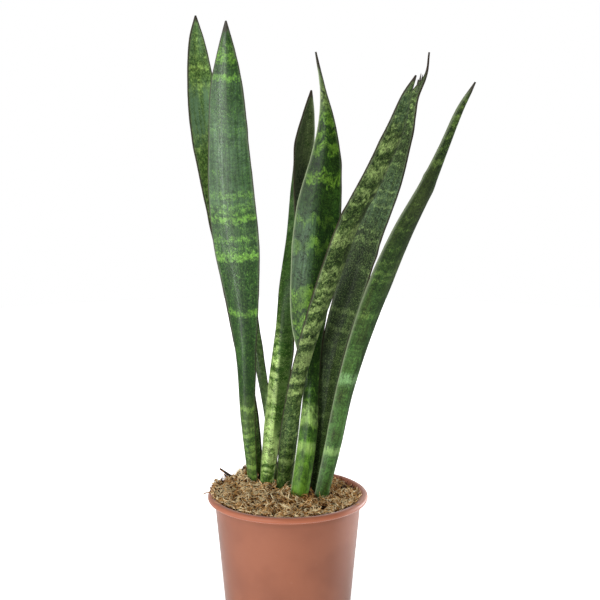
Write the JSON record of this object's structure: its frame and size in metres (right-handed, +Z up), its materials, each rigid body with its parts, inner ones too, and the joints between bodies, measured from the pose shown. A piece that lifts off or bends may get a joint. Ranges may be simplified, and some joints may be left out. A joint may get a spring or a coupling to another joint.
{
  "type": "potted snake plant",
  "caption": "Potted succulent with upright sword-shaped banded leaves standing in coarse soil in a tapered plastic nursery pot with a rolled lip.",
  "frame": {"origin": "centre of the pot's underside", "axes": "+Z up along the pot and the leaves; +X and +Y level, with the leaves fanned out along X"},
  "size_m": [0.241, 0.14, 0.5371],
  "materials": {
    "pot": "satin moulded terracotta-coloured plastic",
    "soil": "rough loose coir and peat chips",
    "leaf": "waxy, banded deep and yellow green"
  },
  "bodies": {
    "root": {"pot": "pot", "soil": "soil", "leaf_back_left": "leaf", "leaf_front_left": "leaf", "leaf_short": "leaf", "leaf_folded": "leaf", "leaf_centre": "leaf", "leaf_front": "leaf", "leaf_thread_tip": "leaf", "leaf_right": "leaf"}
  },
  "joints": []
}
